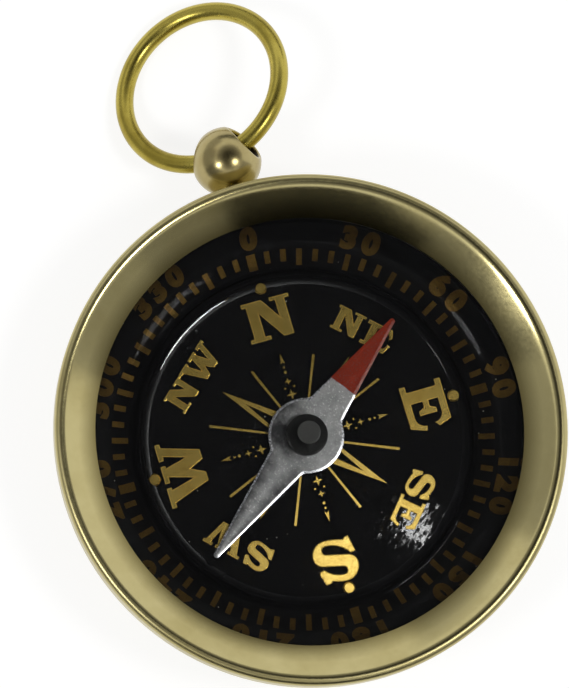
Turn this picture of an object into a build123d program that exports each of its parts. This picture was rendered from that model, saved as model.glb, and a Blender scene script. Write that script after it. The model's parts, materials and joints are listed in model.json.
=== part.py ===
from build123d import *
from math import acos, cos, degrees, radians, sin, sqrt, tan
import os

# Open-face brass pocket compass, millimetres.
# Origin: middle of the flat back. +Z leaves through the glass, +Y points at the pendant and at north.

# Case: turned cup with a ledge for the dial
case_d = 45.0
case_height = 12.0
body_wall = 1.2
body_floor = 1.0
back_round = 3.2
well_round = 0.8

# Bezel: pushed over the mouth of the cup, with a round rim and a crowned wall down to the lip on the glass
skirt_wall = 1.2
skirt_height = 1.1
skirt_chamfer = 0.25
bezel_rise = 1.4
rim_round = 0.55
rim_turn = 29.0
lip_hold = 1.2
lip_drop = 0.6
lip_edge = 0.15

# Glass and the ring under it
glass_thick = 1.2
glass_chamfer = 0.15
spacer_wall = 0.5
air_space = 4.0

# Dial: one pressed sheet with a raised middle and a dished band for the degrees
dial_sheet = 0.4
dial_step = 0.7
crown_round = 0.8
root_round = 0.5
degree_band = 4.5
dish_turn = 50.0
brim_width = 0.5
brim_round = 0.5

# Pivot: stud riveted into the dial, pointed pin in the stud
post_waist_d = 1.6
post_flange_d = 3.0
post_flange = 0.35
post_top_d = 1.5
post_rise = 0.65
post_peen_d = 2.3
post_peen = 0.35
pin_d = 0.7
pin_bury = 0.8
pin_half_angle = 24.0

# Needle: sheet blade, stepped cap riveted through it, jewel in the cap
needle_margin = 1.3
tail_extra = 0.4
needle_lift = 1.05
needle_sheet = 0.35
bevel_width = 0.22
bevel_fall = 0.045
needle_heading = 53.0
hub_d = 6.7
hub_fillet = 0.8
arm_root_width = 4.35
arm_tip_width = 0.5
cap_d = 3.7
cap_base = 0.7
cap_top_d = 2.1
cap_round = 0.14
cap_roof = 0.2
cap_tenon_d = 1.9
cap_peen_d = 2.5
cap_peen = 0.2
jewel_d = 1.3
jewel_thick = 0.75
jewel_roof = 0.3
jewel_pit_d = 1.0

# Pendant: ball, neck and stud in one turning, drilled across for the bow
ball_d = 6.2
ball_tuck = 0.3
neck_d = 3.4
neck_gap = 0.4
neck_round = 0.4
stud_d = 2.4
bow_hole_shift = 1.0
bow_hole_turn = 24.0
bow_hole_round = 0.25

# Bow: bent wire ring that lies on the table
bow_d = 15.0
bow_wire_d = 1.62
bow_slant = 7.5
bow_play = 0.15
bow_seam = 0.12
table_gap = 0.06

# Clearances
slip_fit = 0.02
drop_in_fit = 0.05
point_gap = 0.02
glass_gap = 0.3

# Radii that follow from the sizes above
bezel_r = case_d / 2
body_r = bezel_r - skirt_wall
bore_r = body_r - body_wall
drop_in_r = bore_r - drop_in_fit
shoulder_turn = acos(1 - dial_step / (crown_round + root_round))
dial_flat_r = drop_in_r - degree_band - (crown_round + root_round) * sin(shoulder_turn)
dish_round = (degree_band - brim_width) / sin(radians(dish_turn)) - brim_round
needle_r = dial_flat_r - needle_margin
ball_r = ball_d / 2
bow_r = bow_d / 2
wire_r = bow_wire_d / 2

# Levels, from the mouth of the cup down to the dial and up again to the cap
mouth_z = case_height - bezel_rise
skirt_z = mouth_z - skirt_height
lip_z = mouth_z - lip_drop
glass_z = lip_z - glass_thick
dial_z = glass_z - air_space
moat_z = dial_z - dial_step
brim_z = moat_z + (dish_round + brim_round) * (1 - cos(radians(dish_turn)))
ledge_z = brim_z - dial_sheet
post_top_z = dial_z + post_rise
socket_z = post_top_z - pin_bury
needle_z = dial_z + needle_lift
needle_top_z = needle_z + needle_sheet
cap_step_z = needle_top_z + cap_base
cap_top_z = glass_z - glass_gap
jewel_top_z = cap_top_z - cap_roof
jewel_pit_z = jewel_top_z - jewel_roof
pin_tip_z = jewel_pit_z - point_gap

# Place of the pendant, just under the skirt of the bezel, and of its cross hole
pendant_y = bezel_r + ball_r - ball_tuck
pendant_z = skirt_z - neck_gap - neck_d / 2
hole_center = Vector(0, pendant_y + bow_hole_shift, pendant_z)
hole_along = Vector(cos(radians(bow_hole_turn)), 0, sin(radians(bow_hole_turn)))
hole_side = Vector(-hole_along.Z, 0, hole_along.X)

# The ring runs askew through the hole, so the hole takes the bend of the wire and some play
bow_offset = bow_r * sin(radians(bow_slant))
hole_half = sqrt(ball_r ** 2 - bow_hole_shift ** 2)
wire_bend = bow_r - sqrt(bow_r ** 2 - (hole_half + bow_offset) ** 2)
bow_hole_d = bow_wire_d + wire_bend + 2 * bow_play


def turned(*edges):
    profile = make_face(Curve() + list(edges))
    return revolve(Plane.XZ * profile, Axis.Z)


def case_body():
    foot_r = body_r - back_round
    well_r = drop_in_r - brim_width + drop_in_fit
    well_z = body_floor + well_round
    cup = turned(
        Line((0, 0), (foot_r, 0)),
        RadiusArc((foot_r, 0), (body_r, back_round), -back_round),
        Polyline((body_r, back_round), (body_r, mouth_z), (bore_r, mouth_z), (bore_r, ledge_z),
                 (well_r, ledge_z), (well_r, well_z)),
        RadiusArc((well_r, well_z), (well_r - well_round, body_floor), well_round),
        Polyline((well_r - well_round, body_floor), (0, body_floor), (0, 0)),
    )
    stud_hole = Cylinder(stud_d / 2 + slip_fit, body_wall * 3)
    return cup - Pos(0, body_r - body_wall / 2, pendant_z) * Rot(90, 0, 0) * stud_hole


def bezel_ring():
    lip_r = drop_in_r - lip_hold
    fit_r = body_r + slip_fit
    rim = CenterArc((bezel_r - rim_round, case_height - rim_round), rim_round, 0, 90 + rim_turn)
    wall = TangentArc(rim @ 1, (lip_r, lip_z + lip_edge), tangent=rim % 1)
    return turned(
        Polyline((lip_r, lip_z), (drop_in_r, lip_z), (drop_in_r, mouth_z), (fit_r, mouth_z), (fit_r, skirt_z),
                 (bezel_r - skirt_chamfer, skirt_z), (bezel_r, skirt_z + skirt_chamfer), rim @ 0),
        rim,
        wall,
        Line(wall @ 1, (lip_r, lip_z)),
    )


def crystal():
    disc = Pos(0, 0, glass_z) * extrude(Circle(drop_in_r), glass_thick)
    return chamfer(disc.edges(), glass_chamfer)


def spacer_ring():
    ring = Circle(drop_in_r) - Circle(drop_in_r - spacer_wall)
    return Pos(0, 0, brim_z) * extrude(ring, glass_z - brim_z)


def dial_arcs(level, below):
    # Shoulder and dish as tangent arcs, at a depth below the printed face.
    turn = degrees(shoulder_turn)
    crown = JernArc((dial_flat_r, level), (1, 0), crown_round - below, -turn)
    root = JernArc(crown @ 1, crown % 1, root_round + below, turn)
    dish = JernArc(root @ 1, root % 1, dish_round + below, dish_turn)
    brim = JernArc(dish @ 1, dish % 1, brim_round - below, -dish_turn)
    return [crown, root, dish, brim]


def dial_plate():
    hole_r = post_waist_d / 2 + slip_fit
    under_z = dial_z - dial_sheet
    top = dial_arcs(dial_z, 0)
    under = dial_arcs(under_z, dial_sheet)
    return turned(
        Line((hole_r, dial_z), (dial_flat_r, dial_z)),
        *top,
        Polyline(top[-1] @ 1, (drop_in_r, brim_z), (drop_in_r, ledge_z), under[-1] @ 1),
        *under,
        Polyline((dial_flat_r, under_z), (hole_r, under_z), (hole_r, dial_z)),
    )


def pivot_post():
    under_z = dial_z - dial_sheet
    foot_z = under_z - post_peen
    collar_z = dial_z + post_flange
    waist_r = post_waist_d / 2
    peen_r = post_peen_d / 2
    flange_r = post_flange_d / 2
    top_r = post_top_d / 2
    socket_r = pin_d / 2 + slip_fit
    return turned(
        Polyline((0, foot_z), (peen_r - post_peen / 2, foot_z), (peen_r, under_z), (waist_r, under_z),
                 (waist_r, dial_z), (flange_r, dial_z), (flange_r, collar_z), (top_r, collar_z),
                 (top_r, post_top_z), (socket_r, post_top_z), (socket_r, socket_z), (0, socket_z),
                 (0, foot_z)),
    )


def pivot_pin():
    pin_r = pin_d / 2
    cone = pin_r / tan(radians(pin_half_angle))
    return turned(
        Polyline((0, socket_z), (pin_r, socket_z), (pin_r, pin_tip_z - cone), (0, pin_tip_z), (0, socket_z)),
    )


def needle_arm(length):
    tip_r = arm_tip_width / 2
    tip_y = length - tip_r
    root_r = arm_root_width / 2
    taper = Polygon((-root_r, 0), (root_r, 0), (tip_r, tip_y), (-tip_r, tip_y), align=None)
    return taper + Pos(0, tip_y) * Circle(tip_r)


def needle_blade():
    hub_r = hub_d / 2
    outline = needle_arm(needle_r) + Rot(0, 0, 180) * needle_arm(needle_r + tail_extra) + Circle(hub_r)
    corners = [v for v in outline.vertices() if abs(v.center().length - hub_r) < slip_fit]
    outline = fillet(corners, hub_fillet) - Circle(cap_tenon_d / 2 + slip_fit)
    sheet = Pos(0, 0, needle_z) * extrude(outline, needle_sheet)
    top_face = sheet.faces().sort_by(Axis.Z)[-1]
    blade = chamfer(top_face.outer_wire().edges(), bevel_width, bevel_fall, reference=top_face)
    return Rot(0, 0, -needle_heading) * blade


def needle_cap():
    foot_z = needle_z - cap_peen
    inner_r = jewel_d / 2 + slip_fit
    tenon_r = cap_tenon_d / 2
    base_r = cap_d / 2
    top_r = cap_top_d / 2
    base_side = cap_step_z - cap_round
    top_side = cap_top_z - cap_round
    return turned(
        Polyline((inner_r, foot_z), (cap_peen_d / 2, foot_z), (cap_peen_d / 2, needle_z), (tenon_r, needle_z),
                 (tenon_r, needle_top_z), (base_r, needle_top_z), (base_r, base_side)),
        RadiusArc((base_r, base_side), (base_r - cap_round, cap_step_z), -cap_round),
        Polyline((base_r - cap_round, cap_step_z), (top_r, cap_step_z), (top_r, top_side)),
        RadiusArc((top_r, top_side), (top_r - cap_round, cap_top_z), -cap_round),
        Polyline((top_r - cap_round, cap_top_z), (0, cap_top_z), (0, jewel_top_z), (inner_r, jewel_top_z),
                 (inner_r, foot_z)),
    )


def cap_jewel():
    seat_z = jewel_top_z - jewel_thick
    jewel_r = jewel_d / 2
    pit_r = jewel_pit_d / 2
    return turned(
        Polyline((pit_r, seat_z), (jewel_r, seat_z), (jewel_r, jewel_top_z), (0, jewel_top_z),
                 (0, jewel_pit_z), (pit_r, seat_z)),
    )


def pendant():
    neck_r = neck_d / 2
    stud_y = bore_r + drop_in_fit
    join_y = pendant_y - sqrt(ball_r ** 2 - neck_r ** 2)
    knob = turned(
        Polyline((0, pendant_y + ball_r), (0, stud_y), (neck_r, stud_y), (neck_r, join_y)),
        ThreePointArc((neck_r, join_y), (ball_r, pendant_y), (0, pendant_y + ball_r)),
    )
    throat = knob.edges().filter_by(GeomType.CIRCLE).filter_by_position(
        Axis.Z, join_y - slip_fit, join_y + slip_fit)
    knob = fillet(throat, neck_round)
    outward = Pos(0, 0, pendant_z) * Rot(-90, 0, 0) * Rot(0, 0, 90)
    wall = Cylinder(body_r + slip_fit, case_height * 3)
    stud = Pos(0, 0, stud_y) * extrude(Circle(stud_d / 2), pendant_y - stud_y)
    hole = Plane(hole_center, z_dir=hole_along) * Cylinder(bow_hole_d / 2, ball_d * 2)
    drilled = outward * knob - wall - hole
    curves = drilled.edges().filter_by(GeomType.BSPLINE)
    mouths = [e for e in curves if abs((e.center() - hole_center).dot(hole_along)) > ball_r / 2]
    return fillet(mouths, bow_hole_round) + (outward * stud - hole)


def bow_plane(droop):
    # The ring's plane holds the axis of the hole and hangs below it by the droop angle.
    outward = Vector(0, cos(droop), 0) + hole_side * sin(droop)
    middle = hole_center - hole_along * bow_offset + outward * (bow_r - wire_bend / 2)
    return Plane(middle, x_dir=outward, z_dir=hole_along.cross(outward))


def resting_droop():
    # Halve the interval until the lowest point of the wire lies on the table.
    low = radians(-80)
    high = radians(80)
    for _ in range(50):
        droop = (low + high) / 2
        plane = bow_plane(droop)
        low_point = plane.origin.Z - bow_r * sqrt(1 - plane.z_dir.Z ** 2) - wire_r
        if low_point < table_gap:
            low = droop
        else:
            high = droop
    return high


def bow_ring():
    seam = degrees(bow_seam / bow_r)
    wire = Plane.XZ * Pos(bow_r, 0) * Circle(wire_r)
    ring = revolve(wire, Axis.Z, revolution_arc=360 - seam)
    return bow_plane(resting_droop()) * Rot(0, 0, 180 + seam / 2) * ring


os.makedirs("parts", exist_ok=True)
pieces = (case_body, bezel_ring, crystal, spacer_ring, dial_plate, pivot_post, pivot_pin,
          needle_blade, needle_cap, cap_jewel, pendant, bow_ring)
for piece in pieces:
    export_step(piece(), f"parts/{piece.__name__}.step")

print("bow turns about", hole_center, "along", hole_along, "in a hole of", round(bow_hole_d, 3))
print("bow droop", round(degrees(resting_droop()), 2), "middle", bow_plane(resting_droop()).origin)
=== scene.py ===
import json
import math

import bpy
from mathutils import Euler, Matrix, Vector


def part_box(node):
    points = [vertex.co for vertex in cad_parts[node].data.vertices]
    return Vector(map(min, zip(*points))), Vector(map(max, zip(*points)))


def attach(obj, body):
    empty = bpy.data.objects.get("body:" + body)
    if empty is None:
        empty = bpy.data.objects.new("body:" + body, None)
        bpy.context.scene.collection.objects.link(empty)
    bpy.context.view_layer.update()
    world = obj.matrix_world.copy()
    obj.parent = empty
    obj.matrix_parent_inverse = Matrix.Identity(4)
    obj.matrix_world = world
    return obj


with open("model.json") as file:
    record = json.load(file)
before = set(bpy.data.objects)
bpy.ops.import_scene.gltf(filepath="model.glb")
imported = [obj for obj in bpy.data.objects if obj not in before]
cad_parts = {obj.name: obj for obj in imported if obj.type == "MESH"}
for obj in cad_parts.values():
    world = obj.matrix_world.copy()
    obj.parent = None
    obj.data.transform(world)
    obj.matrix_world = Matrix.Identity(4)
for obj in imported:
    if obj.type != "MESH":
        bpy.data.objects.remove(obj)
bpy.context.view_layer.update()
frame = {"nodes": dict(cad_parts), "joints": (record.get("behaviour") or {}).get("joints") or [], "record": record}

nodes = frame["nodes"]
mm = 0.001
fineRelief = 0.03 * mm                    # what a bump of full strength stands for


# Small helpers for modelling

def clearSelection():
    if bpy.context.mode != "OBJECT":
        bpy.ops.object.mode_set(mode="OBJECT")
    bpy.ops.object.select_all(action="DESELECT")


def pickOnly(piece):
    clearSelection()
    piece.select_set(True)
    bpy.context.view_layer.objects.active = piece


def startVertex(x, y):
    clearSelection()
    bpy.ops.mesh.primitive_plane_add(size=1)
    bpy.ops.object.mode_set(mode="EDIT")
    bpy.ops.mesh.select_all(action="SELECT")
    bpy.ops.mesh.merge(type="CENTER")     # the plane becomes one vertex, the pen
    bpy.ops.transform.translate(value=(x, y, 0))
    return bpy.context.object


def drawChain(moves):
    # (x, y) is a straight run to a corner, (x, y, turn) an arc of that many degrees about a centre
    shape = startVertex(*moves[0])
    here = Vector(moves[0])
    for move in moves[1:]:
        goal = Vector(move[:2])
        if len(move) == 2:
            step = goal - here
            bpy.ops.mesh.extrude_region_move(TRANSFORM_OT_translate={"value": (step.x, step.y, 0)})
            here = goal
        else:
            turn = math.radians(move[2])
            steps = max(3, round(abs(move[2]) / 12))
            bpy.ops.mesh.spin(steps=steps, angle=-turn, center=(goal.x, goal.y, 0), axis=(0, 0, 1))
            here = goal + Matrix.Rotation(turn, 2) @ (here - goal)
    bpy.ops.mesh.select_all(action="SELECT")
    bpy.ops.mesh.remove_doubles(threshold=1e-7)
    return shape


def drawOutline(moves):
    shape = drawChain(moves)
    bpy.ops.mesh.edge_face_add()
    bpy.ops.object.mode_set(mode="OBJECT")
    if shape.data.polygons[0].normal.z < 0:
        bpy.ops.object.mode_set(mode="EDIT")
        bpy.ops.mesh.flip_normals()
        bpy.ops.object.mode_set(mode="OBJECT")
    return shape


def placeFlat(shape, across, out, bearing, size=1.0, stretch=1.0, lean=0.0):
    # across and out in metres: sideways from, and outwards along, the line at that compass bearing
    spot = Vector((across, out, 0))
    spot.rotate(Euler((0, 0, -math.radians(bearing))))
    shape.location = spot
    shape.rotation_euler = (0, 0, -math.radians(bearing + lean))
    shape.scale = (size * stretch, size, size)
    pickOnly(shape)
    bpy.ops.object.transform_apply(location=True, rotation=True, scale=True)
    return shape


def raiseFace(shape, rim, rise):
    # a sloped rim round a flat face, as thick ink dries
    pickOnly(shape)
    bpy.ops.object.mode_set(mode="EDIT")
    bpy.ops.mesh.select_all(action="SELECT")
    bpy.ops.mesh.inset(thickness=rim)
    bpy.ops.transform.translate(value=(0, 0, rise))
    bpy.ops.object.mode_set(mode="OBJECT")
    return shape


def joinShapes(shapes, name):
    clearSelection()
    for shape in shapes:
        shape.select_set(True)
    bpy.context.view_layer.objects.active = shapes[0]
    if len(shapes) > 1:
        bpy.ops.object.join()
    piece = bpy.context.object
    piece.name = name
    piece.data.name = name
    return piece


def applyModifier(piece, kind, **settings):
    pickOnly(piece)
    bpy.ops.object.modifier_add(type=kind)
    modifier = piece.modifiers[-1]
    for setting, value in settings.items():
        setattr(modifier, setting, value)
    bpy.ops.object.modifier_apply(modifier=modifier.name)


# Small helpers for materials

def newFinish(name):
    finish = bpy.data.materials.new(name)
    finish.use_nodes = True
    return finish, finish.node_tree, finish.node_tree.nodes["Principled BSDF"]


def addNode(tree, kind, values=None, **options):
    node = tree.nodes.new(kind)
    for option, setting in options.items():
        setattr(node, option, setting)
    for socket, value in (values or {}).items():
        node.inputs[socket].default_value = value
    return node


def wire(tree, source, target):
    tree.links.new(source, target)


def noiseOn(tree, vector, scale, detail=3.0, roughness=0.5, dimensions="3D"):
    noise = addNode(tree, "ShaderNodeTexNoise", {"Scale": scale, "Detail": detail, "Roughness": roughness},
                    noise_dimensions=dimensions)
    wire(tree, vector, noise.inputs["Vector"])
    return noise.outputs["Fac"]


def rangeOf(tree, value, low, high, fromLow=0.0, fromHigh=1.0):
    spread = addNode(tree, "ShaderNodeMapRange")
    for socket, number in (("From Min", fromLow), ("From Max", fromHigh), ("To Min", low), ("To Max", high)):
        spread.inputs[socket].default_value = number
    wire(tree, value, spread.inputs["Value"])
    return spread.outputs["Result"]


def blendColours(tree, factor, first, second):
    mix = addNode(tree, "ShaderNodeMix", data_type="RGBA")
    wire(tree, factor, mix.inputs["Factor"])
    for socket, colour in ((mix.inputs[6], first), (mix.inputs[7], second)):
        if isinstance(colour, tuple):
            socket.default_value = (*colour, 1)
        else:
            wire(tree, colour, socket)
    return mix.outputs[2]


def bumpFrom(tree, height, strength, distance, normal=None):
    bump = addNode(tree, "ShaderNodeBump", {"Strength": strength, "Distance": distance})
    wire(tree, height, bump.inputs["Height"])
    if normal is not None:
        wire(tree, normal, bump.inputs["Normal"])
    return bump.outputs["Normal"]


def doMath(tree, operation, first, second=None):
    node = addNode(tree, "ShaderNodeMath", operation=operation)
    for socket, value in ((node.inputs[0], first), (node.inputs[1], second)):
        if isinstance(value, (int, float)):
            socket.default_value = value
        elif value is not None:
            wire(tree, value, socket)
    return node.outputs[0]


def objectPoint(tree, centre=(0, 0, 0), turn=(0, 0, 0), stretch=(1, 1, 1)):
    coordinates = addNode(tree, "ShaderNodeTexCoord")
    place = addNode(tree, "ShaderNodeMapping", {"Location": centre, "Rotation": turn, "Scale": stretch},
                    vector_type="TEXTURE")
    wire(tree, coordinates.outputs["Object"], place.inputs["Vector"])
    return place.outputs["Vector"]


def splitPoint(tree, point):
    split = addNode(tree, "ShaderNodeSeparateXYZ")
    wire(tree, point, split.inputs[0])
    return split.outputs


def fromAxis(tree, parts):
    # distance from the local Z axis
    return doMath(tree, "SQRT", doMath(tree, "ADD", doMath(tree, "MULTIPLY", parts[0], parts[0]),
                                       doMath(tree, "MULTIPLY", parts[1], parts[1])))


def roundLines(tree, point):
    # a pattern on these two runs in rings about the local Z axis
    parts = splitPoint(tree, point)
    ring = addNode(tree, "ShaderNodeCombineXYZ")
    wire(tree, fromAxis(tree, parts), ring.inputs[0])
    wire(tree, parts[2], ring.inputs[1])
    return ring.outputs[0]


# Brass of the case, the ball and the bow

bowCentre = Vector(frame["record"]["mounts"][1]["pos_m"])
bowHinge = next(joint for joint in frame["joints"] if joint["name"] == "bow_swing")
wireLine = Vector(bowHinge["axis"])                          # the wire runs this way through the ball
bowAxis = wireLine.cross(bowCentre - Vector(bowHinge["pos_m"])).normalized()
bowTurn = bowAxis.to_track_quat("Z", "Y").to_euler()

caseBrass = {
    "name": "turnedBrass", "bright": (0.52, 0.455, 0.22), "dull": (0.44, 0.375, 0.165),
    "smooth": 0.12, "rough": 0.20, "lineScale": 5200, "lineDepth": 0.015, "cloudScale": 130,
    "centre": (0, 0, 0), "turn": (0, 0, 0),
}
# the bezel's inner wall carries painted shade, its colour darkening towards the glass
bezelBrass = dict(caseBrass, name="bezelBrass", smooth=0.13, rough=0.19,
                  shade={"from": 18.9 * mm, "to": 20.4 * mm, "colour": (0.21, 0.175, 0.072)},
                  section={"foot": 18.85 * mm, "top": 21.68 * mm, "footLean": -0.566, "topLean": -0.498,
                           "rimMiddle": 21.95 * mm, "rimRound": 0.55 * mm, "blend": 1.2,
                           "facingFrom": 0.1, "facingTo": 0.4},
                  rimWear={"from": 21.75 * mm, "to": 21.95 * mm, "rough": 0.15})
ballBrass = {
    "name": "polishedBallBrass", "bright": (0.44, 0.37, 0.175), "dull": (0.36, 0.29, 0.125),
    "smooth": 0.18, "rough": 0.26, "lineScale": 3800, "lineDepth": 0.02, "cloudScale": 260,
    "centre": (0, 0, bowHinge["pos_m"][2]), "turn": (math.radians(-90), 0, 0),
    # painted shade: the inside of the wire's hole is near black, as shade in a deep hole
    "hole": {"centre": bowHinge["pos_m"], "along": wireLine, "radius": 1.51 * mm, "edge": 0.06 * mm,
             "colour": (0.012, 0.009, 0.004)},
}
wireBrass = {
    "name": "drawnWireBrass", "bright": (0.50, 0.41, 0.085), "dull": (0.36, 0.28, 0.045),
    "smooth": 0.22, "rough": 0.34, "lineScale": 4200, "lineDepth": 0.02, "cloudScale": 210,
    "centre": tuple(bowCentre), "turn": tuple(bowTurn),
}
pivotBrass = {
    "name": "pivotBrass", "bright": (0.52, 0.42, 0.18), "dull": (0.36, 0.28, 0.11),
    "smooth": 0.22, "rough": 0.38, "lineScale": 6000, "lineDepth": 0.1, "cloudScale": 500,
    "centre": (0, 0, 0), "turn": (0, 0, 0),
}


def insideHole(tree, hole):
    point = objectPoint(tree, hole["centre"], hole["along"].to_track_quat("Z", "Y").to_euler())
    out = fromAxis(tree, splitPoint(tree, point))
    return rangeOf(tree, out, 1.0, 0.0, hole["radius"], hole["radius"] + hole["edge"])


def turnedNormal(tree, point, section):
    # the turned section gives the lie of wall and rim, so that highlights don't show the facets of the mesh
    parts = splitPoint(tree, point)
    out = fromAxis(tree, parts)
    wall = rangeOf(tree, out, section["footLean"], section["topLean"], section["foot"], section["top"])
    rim = doMath(tree, "DIVIDE", doMath(tree, "SUBTRACT", out, section["rimMiddle"]), section["rimRound"])
    blend = addNode(tree, "ShaderNodeMath", {2: section["blend"]}, operation="SMOOTH_MAX")
    wire(tree, wall, blend.inputs[0])
    wire(tree, rim, blend.inputs[1])
    lean = doMath(tree, "MINIMUM", blend.outputs[0], 1.0)
    outward = doMath(tree, "DIVIDE", lean, out)
    turned = addNode(tree, "ShaderNodeCombineXYZ")
    wire(tree, doMath(tree, "MULTIPLY", parts[0], outward), turned.inputs[0])
    wire(tree, doMath(tree, "MULTIPLY", parts[1], outward), turned.inputs[1])
    square = doMath(tree, "MULTIPLY", lean, lean)
    wire(tree, doMath(tree, "SQRT", doMath(tree, "SUBTRACT", 1.0, square)), turned.inputs[2])
    plain = addNode(tree, "ShaderNodeNewGeometry").outputs["Normal"]
    upper = rangeOf(tree, splitPoint(tree, plain)[2], 0, 1, section["facingFrom"], section["facingTo"])
    return blendColours(tree, upper, plain, turned.outputs[0])      # sides and underside keep their own


def makeBrass(look):
    finish, tree, shader = newFinish(look["name"])
    shader.inputs["Metallic"].default_value = 1.0
    point = objectPoint(tree, look["centre"], look["turn"])
    lines = noiseOn(tree, roundLines(tree, point), look["lineScale"], 3.0, 0.6, "2D")
    cloud = noiseOn(tree, point, look["cloudScale"], 5.0, 0.62)
    pits = noiseOn(tree, point, look["cloudScale"] * 24, 2.0, 0.5)
    tarnish = rangeOf(tree, cloud, 0.0, 1.0, 0.42, 0.68)
    colour = blendColours(tree, tarnish, look["bright"], look["dull"])
    out = fromAxis(tree, splitPoint(tree, point))
    if "shade" in look:                            # painted shade: the wall's colour darkens towards the glass
        shade = look["shade"]
        paintedWallShade = rangeOf(tree, out, 1, 0, shade["from"], shade["to"])
        colour = blendColours(tree, paintedWallShade, colour, shade["colour"])
    # painted shade: the inside of the hole made near black
    if "hole" in look:
        colour = blendColours(tree, insideHole(tree, look["hole"]), colour, look["hole"]["colour"])
    wire(tree, colour, shader.inputs["Base Color"])
    worn = doMath(tree, "ADD", doMath(tree, "MULTIPLY", cloud, 0.6), doMath(tree, "MULTIPLY", pits, 0.4))
    satin = rangeOf(tree, worn, look["smooth"], look["rough"], 0.35, 0.65)
    if "rimWear" in look:                          # the top of the rim is handled most, and duller
        wear = look["rimWear"]
        satin = doMath(tree, "ADD", satin, rangeOf(tree, out, 0, wear["rough"], wear["from"], wear["to"]))
    wire(tree, satin, shader.inputs["Roughness"])
    height = doMath(tree, "ADD", lines, doMath(tree, "MULTIPLY", pits, 0.5))
    normal = turnedNormal(tree, point, look["section"]) if "section" in look else None
    wire(tree, bumpFrom(tree, height, look["lineDepth"], fineRelief, normal), shader.inputs["Normal"])
    return finish


# Black lacquer of the dial, with faint brush marks and a little dust under the glass

lacquerLook = {
    "name": "dialLacquer", "black": (0.0042, 0.0042, 0.0046), "gloss": 0.008, "centre": (0, 0, 0),
    "shine": 0.42, "edgeShine": 0.04, "edgeFrom": 14.2 * mm, "edgeTo": 14.5 * mm,
    "peelScale": 700, "peelDepth": 0.0004 * mm,
    "strokeScale": 6200, "strokeLean": 0.012, "strokeBearing": 46, "strokeStretch": 2.6,
    "dust": (0.30, 0.28, 0.24), "dustRough": 0.6, "dustScale": 1050, "dustSize": 0.055, "dustShare": 0.84,
}


def brushStrokes(tree, look):
    # short strokes of the brush, each leaning its own way by up to half a degree
    turn = (0, 0, -math.radians(look["strokeBearing"]))
    along = objectPoint(tree, turn=turn, stretch=(1, look["strokeStretch"], 1))
    strokes = addNode(tree, "ShaderNodeTexVoronoi", {"Scale": look["strokeScale"]})
    wire(tree, along, strokes.inputs["Vector"])
    chance = addNode(tree, "ShaderNodeSeparateColor")
    wire(tree, strokes.outputs["Color"], chance.inputs[0])
    reach = doMath(tree, "MULTIPLY", chance.outputs[2], look["strokeLean"])
    lean = addNode(tree, "ShaderNodeCombineXYZ")
    for axis in (0, 1):
        side = doMath(tree, "SUBTRACT", chance.outputs[axis], 0.5)
        wire(tree, doMath(tree, "MULTIPLY", side, reach), lean.inputs[axis])
    upright = addNode(tree, "ShaderNodeNewGeometry")
    tilted = addNode(tree, "ShaderNodeVectorMath", operation="ADD")
    wire(tree, upright.outputs["Normal"], tilted.inputs[0])
    wire(tree, lean.outputs[0], tilted.inputs[1])
    unit = addNode(tree, "ShaderNodeVectorMath", operation="NORMALIZE")
    wire(tree, tilted.outputs[0], unit.inputs[0])
    return unit.outputs[0]


def makeLacquer(look):
    finish, tree, shader = newFinish(look["name"])
    point = objectPoint(tree, look["centre"])
    out = fromAxis(tree, splitPoint(tree, point))
    shine = rangeOf(tree, out, look["shine"], look["edgeShine"], look["edgeFrom"], look["edgeTo"])
    if "worn" in look:                             # painted highlight: the shine is cut on the side away from this corner of the dial, so a highlight shows only there
        worn = look["worn"]
        parts = splitPoint(tree, objectPoint(tree, look["centre"], (0, 0, math.radians(worn["corner"]))))
        shine = doMath(tree, "MULTIPLY", shine, rangeOf(tree, parts[1], worn["matt"], 1.0, 0, worn["over"]))
    wire(tree, shine, shader.inputs["Specular IOR Level"])
    peel = noiseOn(tree, point, look["peelScale"], 2.0, 0.5)
    cells = addNode(tree, "ShaderNodeTexVoronoi", {"Scale": look["dustScale"]})
    wire(tree, point, cells.inputs["Vector"])
    chance = addNode(tree, "ShaderNodeSeparateColor")
    wire(tree, cells.outputs["Color"], chance.inputs[0])
    speck = doMath(tree, "MULTIPLY", doMath(tree, "LESS_THAN", cells.outputs["Distance"], look["dustSize"]),
                   doMath(tree, "GREATER_THAN", chance.outputs[0], look["dustShare"]))
    wire(tree, blendColours(tree, speck, look["black"], look["dust"]), shader.inputs["Base Color"])
    wire(tree, rangeOf(tree, speck, look["gloss"], look["dustRough"]), shader.inputs["Roughness"])
    relief = doMath(tree, "MULTIPLY", peel, look["peelDepth"])
    wire(tree, bumpFrom(tree, relief, 1.0, 1.0, brushStrokes(tree, look)), shader.inputs["Normal"])
    return finish


# Needle: dull grey steel, the north arm painted red

needleLook = {
    "name": "needleSteel", "grey": (0.28, 0.28, 0.275), "dull": (0.18, 0.18, 0.18),
    # the near-black grey here is painted shade, laid on the tail's edges and the hub
    "speck": (0.62, 0.61, 0.59), "paintedShade": (0.022, 0.022, 0.023), "ground": (0.46, 0.46, 0.48),
    "red": (0.155, 0.015, 0.005), "redDark": (0.10, 0.010, 0.0035), "redFrom": 5.5 * mm,
    "edgeWander": 0.25 * mm, "speckScale": 5200, "rollScale": 900, "heading": 53,
    "rootHalf": 2.17 * mm, "narrowing": 0.142, "tipHalf": 0.25 * mm,
}


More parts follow.
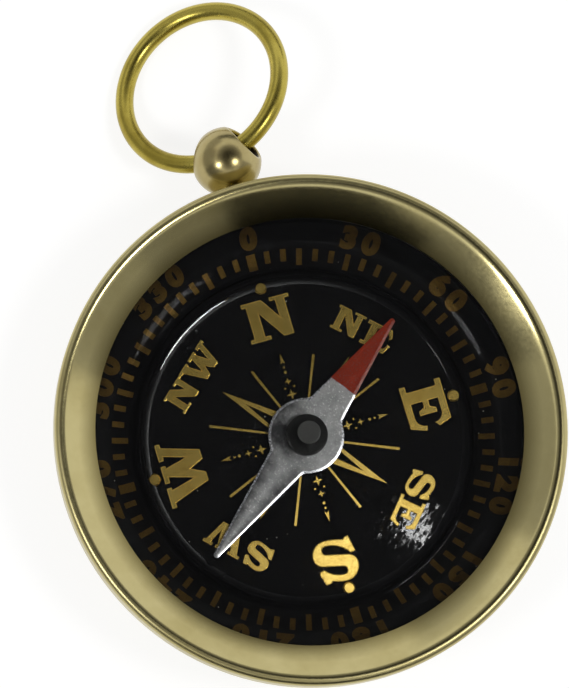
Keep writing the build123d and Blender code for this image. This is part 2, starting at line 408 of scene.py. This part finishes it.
def makeNeedle(look):
    finish, tree, shader = newFinish(look["name"])
    turn = (0, 0, -math.radians(look["heading"]))
    point = objectPoint(tree, turn=turn)                     # local Y runs to the north tip
    parts = splitPoint(tree, point)
    across, along = parts[0], parts[1]
    taper = doMath(tree, "SUBTRACT", look["rootHalf"],
                   doMath(tree, "MULTIPLY", doMath(tree, "ABSOLUTE", along), look["narrowing"]))
    armHalf = doMath(tree, "MAXIMUM", taper, look["tipHalf"])
    place = doMath(tree, "DIVIDE", across, armHalf)          # -1 to 1 over the arm
    grain = noiseOn(tree, point, look["speckScale"], 3.0, 0.65)
    rolled = noiseOn(tree, point, look["rollScale"], 4.0, 0.6)
    wander = doMath(tree, "MULTIPLY", doMath(tree, "SUBTRACT", rolled, 0.5), look["edgeWander"])
    painted = rangeOf(tree, doMath(tree, "ADD", along, wander), 0.0, 1.0,
                      look["redFrom"] - 0.03 * mm, look["redFrom"] + 0.03 * mm)
    inward = doMath(tree, "SUBTRACT", taper, doMath(tree, "ABSOLUTE", across))
    ground = doMath(tree, "MINIMUM", rangeOf(tree, fromAxis(tree, parts), 0, 1, 3.12 * mm, 3.2 * mm),
                    rangeOf(tree, inward, 1, 0, 0.12 * mm, 0.2 * mm))                    # the bevelled edge
    steel = blendColours(tree, rangeOf(tree, rolled, 0, 1, 0.35, 0.68), look["grey"], look["dull"])
    steel = blendColours(tree, rangeOf(tree, grain, 0, 0.75, 0.57, 0.70), steel, look["speck"])
    # painted shade over the steel, broken up by the rolled pattern
    patchy = rangeOf(tree, rolled, 0.7, 1.25, 0.3, 0.7)
    paintedShade = doMath(tree, "MULTIPLY", needleSmoke(tree, across, along, place), patchy)
    steel = blendColours(tree, paintedShade, steel, look["paintedShade"])
    steel = blendColours(tree, ground, steel, look["ground"])
    red = blendColours(tree, rangeOf(tree, grain, 0, 1, 0.4, 0.7), look["red"], look["redDark"])
    wire(tree, blendColours(tree, painted, steel, red), shader.inputs["Base Color"])
    wire(tree, rangeOf(tree, painted, 0.85, 0.0), shader.inputs["Metallic"])
    wire(tree, rangeOf(tree, painted, 0.5, 0.2), shader.inputs["Specular IOR Level"])
    satin = rangeOf(tree, grain, 0.30, 0.46, 0.35, 0.65)
    smoother = doMath(tree, "MULTIPLY", doMath(tree, "MAXIMUM", painted, ground), 0.14)
    wire(tree, doMath(tree, "SUBTRACT", satin, smoother), shader.inputs["Roughness"])
    height = doMath(tree, "ADD", grain, doMath(tree, "MULTIPLY", rolled, 0.6))
    wire(tree, bumpFrom(tree, height, 0.12, fineRelief), shader.inputs["Normal"])
    return finish


def needleSmoke(tree, across, along, place):
    # painted shade and reflection: the tail darkens towards both its edges, and the hub on the side away from the
    # light
    edges = doMath(tree, "MAXIMUM", rangeOf(tree, place, 1.0, 0.0, -0.95, 0.0),
                   rangeOf(tree, place, 0.0, 0.8, 0.1, 0.7))
    tail = doMath(tree, "MULTIPLY", edges, rangeOf(tree, along, 1.0, 0.0, -4.0 * mm, -1.5 * mm))
    aside = doMath(tree, "ADD", doMath(tree, "MULTIPLY", across, -0.8), doMath(tree, "MULTIPLY", along, -0.6))
    hub = doMath(tree, "MULTIPLY", rangeOf(tree, aside, 0.0, 0.95, -0.8 * mm, 2.0 * mm),
                 rangeOf(tree, along, 0.0, 1.0, -3.6 * mm, -1.8 * mm))
    return doMath(tree, "MAXIMUM", tail, hub)


# Black moulding of the cap, the painted spacer, the pin, the jewel and the glass

plainLooks = {
    "capMoulding": {"first": (0.004, 0.004, 0.004), "second": (0.007, 0.007, 0.0065), "metallic": 0.0,
                    "smooth": 0.18, "rough": 0.26, "scale": 1600, "depth": 0.02, "shine": 0.3,
                    "wornTop": (0.032, 0.032, 0.030), "wornFrom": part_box("needle_cap")[1][2] - 0.12 * mm},
    "spacerPaint": {"first": (0.010, 0.010, 0.010), "second": (0.020, 0.019, 0.018), "metallic": 0.0,
                    "smooth": 0.5, "rough": 0.7, "scale": 1800, "depth": 0.1},
    "pinSteel": {"first": (0.50, 0.50, 0.50), "second": (0.36, 0.36, 0.36), "metallic": 1.0,
                 "smooth": 0.16, "rough": 0.30, "scale": 3000, "depth": 0.05},
    "jewelCup": {"first": (0.30, 0.05, 0.07), "second": (0.20, 0.03, 0.05), "metallic": 0.0,
                 "smooth": 0.06, "rough": 0.12, "scale": 1500, "depth": 0.02},
}


def makePlain(name, look):
    finish, tree, shader = newFinish(name)
    shader.inputs["Metallic"].default_value = look["metallic"]
    shader.inputs["Specular IOR Level"].default_value = look.get("shine", 0.5)
    point = objectPoint(tree)
    grain = noiseOn(tree, point, look["scale"], 4.0, 0.6)
    colour = blendColours(tree, rangeOf(tree, grain, 0, 1, 0.35, 0.65), look["first"], look["second"])
    # the top face is coloured a lighter grey than the rest of the cap
    if "wornTop" in look:
        worn = rangeOf(tree, splitPoint(tree, point)[2], 0, 1, look["wornFrom"], look["wornFrom"] + 0.1 * mm)
        colour = blendColours(tree, worn, colour, look["wornTop"])
    wire(tree, colour, shader.inputs["Base Color"])
    wire(tree, rangeOf(tree, grain, look["smooth"], look["rough"], 0.3, 0.7), shader.inputs["Roughness"])
    wire(tree, bumpFrom(tree, grain, look["depth"], fineRelief), shader.inputs["Normal"])
    return finish


glassLook = {"tint": (0.985, 0.995, 0.99), "ior": 1.47, "clean": 0.0, "hazy": 0.02, "smearScale": 160}


def makeGlass(look):
    finish, tree, shader = newFinish("crystalGlass")
    shader.inputs["Base Color"].default_value = (*look["tint"], 1)
    shader.inputs["IOR"].default_value = look["ior"]
    shader.inputs["Transmission Weight"].default_value = 1.0
    smear = noiseOn(tree, objectPoint(tree), look["smearScale"], 4.0, 0.6)
    wire(tree, rangeOf(tree, smear, look["clean"], look["hazy"], 0.55, 0.75), shader.inputs["Roughness"])
    clear = addNode(tree, "ShaderNodeBsdfTransparent")
    path = addNode(tree, "ShaderNodeLightPath")
    either = addNode(tree, "ShaderNodeMixShader")
    wire(tree, path.outputs["Is Shadow Ray"], either.inputs["Fac"])
    wire(tree, shader.outputs["BSDF"], either.inputs[1])
    wire(tree, clear.outputs["BSDF"], either.inputs[2])
    wire(tree, either.outputs[0], tree.nodes["Material Output"].inputs["Surface"])
    return finish


# Inks of the dial print: gold on the raised middle, a darker bronze on the degree band, darkened partly as painted
# shade from the bezel over the band

goldLook = {
    "name": "goldInk", "bright": (0.92, 0.66, 0.17), "dull": (0.72, 0.47, 0.09),
    "metallic": 0.92, "sheen": 0.5, "smooth": 0.14, "rough": 0.17,
    "blotchScale": 900, "grainScale": 9000, "grainDepth": 0.015,
}
# a dark ink, darkened further as painted shade where the bezel overhangs the band
shadedBandLook = {
    "name": "bronzeInk", "bright": (0.074, 0.043, 0.009), "dull": (0.039, 0.022, 0.0045),
    "metallic": 0.8, "sheen": 0.1, "smooth": 0.40, "rough": 0.55,
    "blotchScale": 900, "grainScale": 9000, "grainDepth": 0.10,
}


def makeInk(look):
    finish, tree, shader = newFinish(look["name"])
    shader.inputs["Metallic"].default_value = look["metallic"]
    shader.inputs["Specular IOR Level"].default_value = look["sheen"]
    point = objectPoint(tree)
    blotch = noiseOn(tree, point, look["blotchScale"], 4.0, 0.6)
    grain = noiseOn(tree, point, look["grainScale"], 3.0, 0.6)
    uneven = doMath(tree, "ADD", doMath(tree, "MULTIPLY", blotch, 0.5), doMath(tree, "MULTIPLY", grain, 0.5))
    wire(tree, blendColours(tree, rangeOf(tree, uneven, 0, 1, 0.38, 0.66), look["bright"], look["dull"]),
         shader.inputs["Base Color"])
    wire(tree, rangeOf(tree, grain, look["smooth"], look["rough"], 0.35, 0.65), shader.inputs["Roughness"])
    wire(tree, bumpFrom(tree, grain, look["grainDepth"], fineRelief), shader.inputs["Normal"])
    return finish


goldInk = makeInk(goldLook)
bronzeInk = makeInk(shadedBandLook)
nodeFinish = {
    "case_body": makeBrass(caseBrass),
    "bezel_ring": makeBrass(bezelBrass),
    "pendant": makeBrass(ballBrass),
    "bow_ring": makeBrass(wireBrass),
    "pivot_post": makeBrass(pivotBrass),
    "dial_plate": makeLacquer(lacquerLook),
    "needle_blade": makeNeedle(needleLook),
    "crystal": makeGlass(glassLook),
    "needle_cap": makePlain("capMoulding", plainLooks["capMoulding"]),
    "spacer_ring": makePlain("spacerPaint", plainLooks["spacerPaint"]),
    "pivot_pin": makePlain("pinSteel", plainLooks["pinSteel"]),
    "cap_jewel": makePlain("jewelCup", plainLooks["jewelCup"]),
}
for name, finish in nodeFinish.items():
    nodes[name].data.materials.clear()
    nodes[name].data.materials.append(finish)
print("finishes on", len(nodeFinish), "nodes")


# Printing on the dial: flat shapes are laid on the raised middle, or dropped onto the dished band

dialTop = nodes["dial_plate"].ray_cast((10 * mm, 0, 12 * mm), (0, 0, -1))[1].z
inkLayer = {"lift": 0.004 * mm, "thickness": 0.012 * mm, "startHeight": 9.0 * mm}
dialPieces = [nodes["dial_plate"]]


def finishPrint(piece, ink):
    piece.data.materials.clear()
    piece.data.materials.append(ink)
    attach(piece, "case")
    dialPieces.append(piece)
    print("printed", piece.name, len(piece.data.polygons), "faces")


def printOnMiddle(shapes, name):
    piece = joinShapes(shapes, name)
    piece.location.z = dialTop + inkLayer["lift"]
    bpy.ops.object.transform_apply(location=True, rotation=False, scale=False)
    applyModifier(piece, "SOLIDIFY", thickness=inkLayer["thickness"], offset=1.0)
    bpy.ops.object.shade_flat()
    finishPrint(piece, goldInk)


def printOnBand(shapes, name, cuts):
    piece = joinShapes(shapes, name)
    bpy.ops.object.mode_set(mode="EDIT")
    bpy.ops.mesh.select_all(action="SELECT")
    bpy.ops.mesh.subdivide(number_cuts=cuts)
    bpy.ops.object.mode_set(mode="OBJECT")
    piece.location.z = inkLayer["startHeight"]
    bpy.ops.object.transform_apply(location=True, rotation=False, scale=False)
    applyModifier(piece, "SHRINKWRAP", target=nodes["dial_plate"], wrap_method="PROJECT", use_project_z=True,
                  use_negative_direction=True, use_positive_direction=False, offset=inkLayer["lift"])
    applyModifier(piece, "SOLIDIFY", thickness=inkLayer["thickness"], offset=1.0)
    bpy.ops.object.shade_flat()
    finishPrint(piece, bronzeInk)


# Slab letters, drawn one unit tall from the foot at the left

letterShapes = {
    "N": [
        (0, 0), (0.53, 0), (0.53, 0.09), (0.385, 0.09), (0.385, 0.69), (0.865, 0), (1.125, 0), (1.125, 0.915),
        (1.25, 0.915), (1.25, 1), (0.745, 1), (0.745, 0.915), (0.887, 0.915), (0.887, 0.49), (0.53, 1),
        (0, 1), (0, 0.9), (0.11, 0.9), (0.11, 0.09), (0, 0.09)],
    "E": [
        (0, 0), (1.03, 0), (1.16, 0.37), (1.04, 0.405), (0.80, 0.405, -90), (0.45, 0.165), (0.45, 0.45),
        (0.6, 0.45), (0.665, 0.31), (0.775, 0.31), (0.775, 0.725), (0.665, 0.725), (0.6, 0.59), (0.45, 0.59),
        (0.45, 0.83), (0.78, 0.83), (0.78, 0.6, -90), (1.115, 0.7), (1.0, 1), (0, 1), (0, 0.86),
        (0.155, 0.86), (0.155, 0.14), (0, 0.14)],
    "S": [
        (0.868, 0.981), (0.736, 0.970), (0.706, 0.925), (0.366, 0.198, 25), (0.366, 0.642, 90),
        (0.234, 0.642, 77), (0.679, 0.306), (0.657, 0.211, -167), (0.657, 0.754, -48.4), (0.121, 0.408),
        (0, 0.385), (0.072, 0.004), (0.166, 0.019), (0.215, 0.064), (0.660, 1.340, 19.2), (0.660, 0.328, 90),
        (0.766, 0.328, 77), (0.366, 0.661), (0.386, 0.749, -167), (0.386, 0.282, -50.9), (0.925, 0.649),
        (0.943, 0.717)],
    "W": [
        (0, 1), (0, 0.885), (0.12, 0.885), (0.455, 0), (0.68, 0), (0.854, 0.33), (1.018, 0), (1.27, 0),
        (1.56, 0.885), (1.66, 0.885), (1.66, 1), (1.225, 1), (1.225, 0.885), (1.335, 0.885), (1.168, 0.36),
        (1.02, 0.885), (1.09, 0.885), (1.09, 1), (0.645, 1), (0.645, 0.885), (0.8, 0.885), (0.616, 0.3),
        (0.45, 0.885), (0.52, 0.885), (0.52, 1)],
}
mainLetters = {                                    # bearing, then across, foot and height in mm, and stretch
    "N": (0, -2.17, 9.24, 3.61, 0.97), "E": (90, -1.90, 9.31, 3.80, 0.97),
    "S": (180, -1.48, 9.34, 3.86, 1.0), "W": (270, -2.89, 9.29, 3.76, 0.926),
}
pairWords = {                                      # bearing, lean, and the same for each letter
    "NE": (45, -2.5, (("N", -2.80, 9.83, 2.22, 0.945), ("E", 0.13, 9.89, 2.26, 1.015))),
    "SE": (135, -4.0, (("S", -2.44, 9.72, 2.44, 1.02), ("E", 0.15, 9.88, 2.40, 1.02))),
    "SW": (225, 0.0, (("S", -2.62, 10.08, 2.42, 0.99), ("W", 0.0, 10.08, 2.35, 0.91))),
    "NW": (315, 3.0, (("N", -3.37, 10.30, 2.22, 0.96), ("W", -0.65, 10.10, 2.31, 0.95))),
}
letterRim = {"main": (0.075 * mm, 0.022 * mm), "pair": (0.055 * mm, 0.016 * mm)}     # width and rise


def setLetter(letter, bearing, across, foot, height, stretch, lean, rim):
    shape = drawOutline(letterShapes[letter])
    placeFlat(shape, across * mm, foot * mm, bearing, height * mm, stretch, lean)
    return raiseFace(shape, *rim)


letters = []
for letter, (bearing, across, foot, height, stretch) in mainLetters.items():
    letters.append(setLetter(letter, bearing, across, foot, height, stretch, 0, letterRim["main"]))
for bearing, lean, places in pairWords.values():
    for letter, across, foot, height, stretch in places:
        letters.append(setLetter(letter, bearing, across, foot, height, stretch, lean, letterRim["pair"]))
printOnMiddle(letters, "dialLetters")


# Four dots at the cardinal points, and the bead where the lacquer ran to the edge

dotLook = {"out": 13.88 * mm, "radius": 0.56 * mm, "corners": 32, "rim": 0.14 * mm, "rise": 0.15 * mm}
beadLook = {"radius": 14.5 * mm, "height": 0.14 * mm, "flankRound": 1.1 * mm, "backRound": 0.22 * mm,
            "foot": 0.35 * mm, "aside": (0.06 * mm, -0.2 * mm), "steps": 240}


def disc(radius, corners):
    clearSelection()
    bpy.ops.mesh.primitive_circle_add(vertices=corners, radius=radius, fill_type="NGON")
    return bpy.context.object


dots = []
for bearing in (0, 90, 180, 270):
    dot = placeFlat(disc(dotLook["radius"], dotLook["corners"]), 0, dotLook["out"], bearing)
    dots.append(raiseFace(dot, dotLook["rim"], dotLook["rise"]))
printOnMiddle(dots, "dialDots")

# the bead's section, drawn lying down: up its inner flank to the crown, then down into the shoulder
crown = beadLook["radius"], beadLook["height"]
flank, back = beadLook["flankRound"], beadLook["backRound"]
rise = math.acos(1 - beadLook["height"] / flank)
innerFoot = crown[0] - flank * math.sin(rise)
beadPiece = drawChain([(innerFoot, 0), (crown[0], crown[1] - flank, -math.degrees(rise)),
                       (crown[0], crown[1] - back, -90), (crown[0] + back, -beadLook["foot"])])
bpy.ops.transform.rotate(value=-math.pi / 2, orient_axis="X", center_override=(0, 0, 0))
bpy.ops.mesh.select_all(action="SELECT")
bpy.ops.mesh.spin(steps=beadLook["steps"], angle=2 * math.pi, center=(0, 0, 0), axis=(0, 0, 1))
bpy.ops.mesh.select_all(action="SELECT")
bpy.ops.mesh.remove_doubles(threshold=1e-7)
bpy.ops.mesh.normals_make_consistent(inside=False)
bpy.ops.object.mode_set(mode="OBJECT")
bpy.ops.object.shade_smooth()
beadPiece = joinShapes([beadPiece], "lacquerBead")
beadPiece.location = (*beadLook["aside"], dialTop)
bpy.ops.object.transform_apply(location=True, rotation=False, scale=False)
# the bead's shine is kept towards one corner only, a painted highlight
beadLacquer = dict(lacquerLook, name="beadLacquer", centre=(*beadLook["aside"], 0), shine=0.9, edgeShine=0.05,
                   edgeFrom=crown[0] - 0.1 * mm, edgeTo=crown[0], peelDepth=0.0, strokeLean=0.0,
                   worn={"corner": 45, "matt": 0.12, "over": 9 * mm})
finishPrint(beadPiece, makeLacquer(beadLacquer))


# Rose: thin rays, split pointers and a chain of stars and beads at each cardinal point

roseLook = {
    "rayWidth": 0.22 * mm, "rayRoot": 0.8, "rayFrom": 2.4 * mm,       # rayRoot: share of the width there
    "raySouth": 7.9 * mm, "rayNorth": 7.5 * mm, "raySide": 8.5 * mm,
    "pointerFrom": 2.6 * mm, "pointerTip": 8.35 * mm, "pointerHalf": 0.92 * mm, "thickBlade": 0.62 * mm,
    "thinBlade": 0.27 * mm, "slitEnd": 6.0 * mm, "slitAside": 0.06 * mm,
}
rayTips = {22.5: "rayNorth", 67.5: "raySide", 112.5: "raySide", 157.5: "raySouth",
           202.5: "raySouth", 247.5: "raySide", 292.5: "raySide", 337.5: "rayNorth"}
chainLook = {                                      # places and radii in mm
    "stars": ((4.0, 0.46), (5.2, 0.32)), "waist": 0.34, "beads": ((6.05, 0.13), (6.5, 0.1)),
    "sideBeads": ((4.65, 0.42, 0.09),), "beadCorners": 14,
    "arrowFrom": 6.8, "arrowTip": 7.75, "arrowHalf": 0.2, "arrowNotch": 0.18,
}


def starOutline(radius, waist):
    corners = []
    for k in range(8):
        reach = radius if k % 2 == 0 else radius * waist
        corners.append((reach * math.sin(math.radians(45 * k)), reach * math.cos(math.radians(45 * k))))
    return corners


rose = []
half = roseLook["rayWidth"] / 2
root = half * roseLook["rayRoot"]
for bearing, tip in rayTips.items():
    start, end = roseLook["rayFrom"], roseLook[tip]
    ray = drawOutline([(-root, start), (root, start), (half, end), (-half, end)])
    rose.append(placeFlat(ray, 0, 0, bearing))
wide, foot = roseLook["pointerHalf"], roseLook["pointerFrom"]
for bearing in (45, 135, 225, 315):
    pointer = drawOutline([(-wide, foot), (-wide + roseLook["thinBlade"], foot),
                           (roseLook["slitAside"], roseLook["slitEnd"]),
                           (wide - roseLook["thickBlade"], foot), (wide, foot), (0, roseLook["pointerTip"])])
    rose.append(placeFlat(pointer, 0, 0, bearing))
for bearing in (0, 90, 180, 270):
    for out, radius in chainLook["stars"]:
        star = drawOutline(starOutline(radius * mm, chainLook["waist"]))
        rose.append(placeFlat(star, 0, out * mm, bearing))
    for out, radius in chainLook["beads"]:
        bead = disc(radius * mm, chainLook["beadCorners"])
        rose.append(placeFlat(bead, 0, out * mm, bearing))
    for out, across, radius in chainLook["sideBeads"]:
        for side in (-1, 1):
            bead = disc(radius * mm, chainLook["beadCorners"])
            rose.append(placeFlat(bead, side * across * mm, out * mm, bearing))
    base, tip, spread = chainLook["arrowFrom"] * mm, chainLook["arrowTip"] * mm, chainLook["arrowHalf"] * mm
    arrow = drawOutline([(-spread, base), (0, base + chainLook["arrowNotch"] * mm), (spread, base), (0, tip)])
    rose.append(placeFlat(arrow, 0, 0, bearing))
printOnMiddle(rose, "dialRose")


# Degree ring on the dished band: a mark each 5 degrees, a number each 30

ringLook = {"markOut": 17.05 * mm, "shortIn": 15.98 * mm, "longIn": 15.6 * mm, "width": 0.5 * mm,
            "boldWidth": 0.8 * mm}
marks = []
for degree in range(0, 360, 5):
    inner = ringLook["longIn"] if degree % 15 == 0 else ringLook["shortIn"]
    side = (ringLook["boldWidth"] if degree % 90 == 0 else ringLook["width"]) / 2
    outer = ringLook["markOut"]
    mark = drawOutline([(-side, inner), (side, inner), (side, outer), (-side, outer)])
    marks.append(placeFlat(mark, 0, 0, degree))
printOnBand(marks, "degreeMarks", cuts=3)

numberLook = {"foot": 17.6 * mm, "height": 1.6 * mm, "stretch": 1.2, "pitch": 6.3, "weight": 0.075,
              "cap": 0.70}                         # cap: height of a figure in the font
numberDrift = {                                    # degrees that each number stands off its mark
    0: 0.5, 30: 2.1, 60: 0.75, 90: -1.2, 120: -1.1, 150: -1.7,
    180: 0.5, 210: -1.7, 240: -0.2, 270: 0.6, 300: -0.3, 330: 0.9,
}


def digitShape(digit):
    clearSelection()
    bpy.ops.object.text_add()
    text = bpy.context.object
    text.data.body = digit
    text.data.align_x = "CENTER"
    text.data.offset = numberLook["weight"]       # swells the strokes to a bold face
    text.data.resolution_u = 4
    bpy.ops.object.convert(target="MESH")
    return bpy.context.object


digits = []
size = numberLook["height"] / numberLook["cap"]
for degree, drift in numberDrift.items():
    label = str(degree)
    for place, digit in enumerate(label):
        bearing = degree + drift + (place - (len(label) - 1) / 2) * numberLook["pitch"]
        figure = digitShape(digit)
        digits.append(placeFlat(figure, 0, numberLook["foot"], bearing, size, numberLook["stretch"]))
printOnBand(digits, "degreeNumbers", cuts=1)


# Floor, world and lamps

imageNorth = 16.54                         # the north mark stands this far left of straight up in the frame
floorLook = {"size": 6.0, "glow": 0.78, "albedo": 0.35}


def cameraLikeRay(tree):
    path = addNode(tree, "ShaderNodeLightPath")
    seen = doMath(tree, "MAXIMUM", path.outputs["Is Camera Ray"], path.outputs["Is Glossy Ray"])
    return doMath(tree, "MAXIMUM", seen, path.outputs["Is Transmission Ray"])


def makeFloor(look):
    clearSelection()
    bpy.ops.mesh.primitive_plane_add(size=look["size"])
    floor = bpy.context.object
    floor.name = "studioFloor"
    finish, tree, shader = newFinish("paleFloor")
    shader.inputs["Base Color"].default_value = (look["albedo"], look["albedo"], look["albedo"], 1)
    shader.inputs["Roughness"].default_value = 0.9
    shader.inputs["Specular IOR Level"].default_value = 0.0
    glow = addNode(tree, "ShaderNodeEmission", {"Strength": look["glow"]})
    both = addNode(tree, "ShaderNodeAddShader")
    wire(tree, shader.outputs["BSDF"], both.inputs[0])
    wire(tree, glow.outputs[0], both.inputs[1])
    wire(tree, both.outputs[0], tree.nodes["Material Output"].inputs["Surface"])
    floor.data.materials.append(finish)


worldLook = {"fill": 0.42, "seen": 1.0}


def makeWorld(look):
    world = bpy.data.worlds.new("studioWorld")
    world.use_nodes = True
    bpy.context.scene.world = world
    tree = world.node_tree
    sky = tree.nodes["Background"]
    sky.inputs["Color"].default_value = (1, 1, 1, 1)
    seen = cameraLikeRay(tree)
    wire(tree, rangeOf(tree, seen, look["fill"], look["seen"]), sky.inputs["Strength"])


def fromImage(angle, elevation, distance):
    # a place seen from the compass: angle clockwise from straight up in the frame, elevation over the floor
    bearing = math.radians(angle + imageNorth)
    level = math.cos(math.radians(elevation)) * distance
    high = math.sin(math.radians(elevation)) * distance
    return Vector((level * math.sin(bearing), level * math.cos(bearing), high))


lampLooks = {
    "lowerLeft": {"angle": 241, "elevation": 53, "distance": 0.40, "size": 0.085, "radiance": 15},
    "lowerRight": {"angle": 107, "elevation": 67, "distance": 0.40, "size": 0.09, "radiance": 15},
}
sparkLook = {"place": (0.0712, 0.0178, 0.405), "size": 0.005, "radiance": 600}      # for the lacquer alone
sheenLooks = {                                     # two weaker ones for the gold print
    "sheenSouth": {"place": (0.0565, 0.0140, 0.405), "size": 0.005, "radiance": 62},
    "sheenEast": {"place": (0.0712, 0.0178, 0.405), "size": 0.005, "radiance": 36},
}


def makeLamp(name, place, size, radiance):
    clearSelection()
    bpy.ops.object.light_add(type="AREA", location=place)
    lamp = bpy.context.object
    lamp.name = name
    lamp.rotation_euler = Vector(place).to_track_quat("Z", "Y").to_euler()
    lamp.data.shape = "DISK"
    lamp.data.size = size
    lamp.data.energy = radiance * math.pi * math.pi * size * size / 4
    return lamp


def linkLamp(lamp, pieces, state="INCLUDE"):
    receivers = bpy.data.collections.new(lamp.name + "Receivers")
    for piece in pieces:
        receivers.objects.link(piece)
    for entry in receivers.collection_objects:
        entry.light_linking.link_state = state
    lamp.light_linking.receiver_collection = receivers


cardLooks = {                                      # angles in degrees as seen from the compass
    "overhead": {"angle": 25, "elevation": 83, "wide": 42, "tall": 42, "distance": 0.47, "glow": 0.03,
                 "edgeGlow": 0.45, "darkShare": 0.35},
    "frontBlack": {"angle": 178, "elevation": 20, "wide": 26, "tall": 26, "distance": 0.50, "glow": 0.01},
    "frontLeft": {"angle": 229, "elevation": 20, "wide": 24, "tall": 26, "distance": 0.60, "glow": 0.18},
    "left": {"angle": 279, "elevation": 20, "wide": 25, "tall": 26, "distance": 0.66, "glow": 0.42},
    "backLeft": {"angle": 323, "elevation": 12, "wide": 19, "tall": 18, "distance": 0.70, "glow": 0.5},
    "backLow": {"angle": 12, "elevation": 5, "wide": 32, "tall": 12, "distance": 0.60, "glow": 0.12},
    "right": {"angle": 108, "elevation": 20, "wide": 14, "tall": 26, "distance": 0.66, "glow": 0.4},
    "frontRight": {"angle": 140, "elevation": 20, "wide": 15, "tall": 26, "distance": 0.60, "glow": 0.26},
}


def makeCard(name, look):
    clearSelection()
    place = fromImage(look["angle"], look["elevation"], look["distance"])
    spot = {"location": place, "rotation": place.to_track_quat("Z", "Y").to_euler()}
    if "edgeGlow" in look:
        bpy.ops.mesh.primitive_circle_add(radius=look["distance"], fill_type="NGON", **spot)
    else:
        bpy.ops.mesh.primitive_plane_add(size=2 * look["distance"], **spot)
    card = bpy.context.object
    card.name = name
    card.scale = (math.tan(math.radians(look["wide"])), math.tan(math.radians(look["tall"])), 1)
    finish, tree = newFinish(name)[:2]
    glow = addNode(tree, "ShaderNodeEmission", {"Strength": look["glow"]})
    if "edgeGlow" in look:                         # a round card that brightens towards its edge
        reach = fromAxis(tree, splitPoint(tree, objectPoint(tree)))
        inner, outer = look["darkShare"] * look["distance"], look["distance"]
        fade = rangeOf(tree, reach, look["glow"], look["edgeGlow"], inner, outer)
        wire(tree, fade, glow.inputs["Strength"])
    wire(tree, glow.outputs[0], tree.nodes["Material Output"].inputs["Surface"])
    finish.cycles.emission_sampling = "NONE"       # seen in reflections, not sampled as a lamp
    card.data.materials.append(finish)
    card.visible_camera = False
    card.visible_diffuse = False
    card.visible_shadow = False


makeFloor(floorLook)
makeWorld(worldLook)
for name, look in lampLooks.items():
    place = fromImage(look["angle"], look["elevation"], look["distance"])
    linkLamp(makeLamp(name, place, look["size"], look["radiance"]), dialPieces, "EXCLUDE")
linkLamp(makeLamp("spark", **sparkLook), [nodes["dial_plate"]])
for name, look in sheenLooks.items():
    linkLamp(makeLamp(name, **look), [piece for piece in dialPieces if piece is not nodes["dial_plate"]])
for name, look in cardLooks.items():
    makeCard(name, look)
print("floor, world,", len(lampLooks) + len(sheenLooks) + 1, "lamps and", len(cardLooks), "cards")


# Camera, almost straight down on the dial

cameraLook = {
    "target": (0, 0, 11 * mm), "tilt": 9.88, "bearing": 235.9, "distance": 0.40, "frameHeight": 59.99 * mm,
    "aimRight": -2.39 * mm, "aimUp": 7.40 * mm, "sensor": 36.0,
}


def makeCamera(look):
    tilt, bearing, lean = (math.radians(value) for value in (look["tilt"], look["bearing"], imageNorth))
    target = Vector(look["target"])
    back = Vector((math.sin(tilt) * math.sin(bearing), math.sin(tilt) * math.cos(bearing), math.cos(tilt)))
    right = Vector((math.sin(lean), math.cos(lean), 0)).cross(back).normalized()
    up = back.cross(right)
    place = target + back * look["distance"]
    aim = target + right * look["aimRight"] + up * look["aimUp"]
    back = (place - aim).normalized()
    right = up.cross(back).normalized()
    up = back.cross(right)
    clearSelection()
    bpy.ops.object.camera_add(location=place)
    camera = bpy.context.object
    camera.rotation_euler = Matrix((right, up, back)).transposed().to_euler()
    camera.data.sensor_width = look["sensor"]
    camera.data.lens = look["sensor"] * look["distance"] / look["frameHeight"]
    camera.data.clip_start = 0.01
    bpy.context.scene.camera = camera


makeCamera(cameraLook)
bpy.context.scene.view_settings.view_transform = "Standard"
print("camera set")
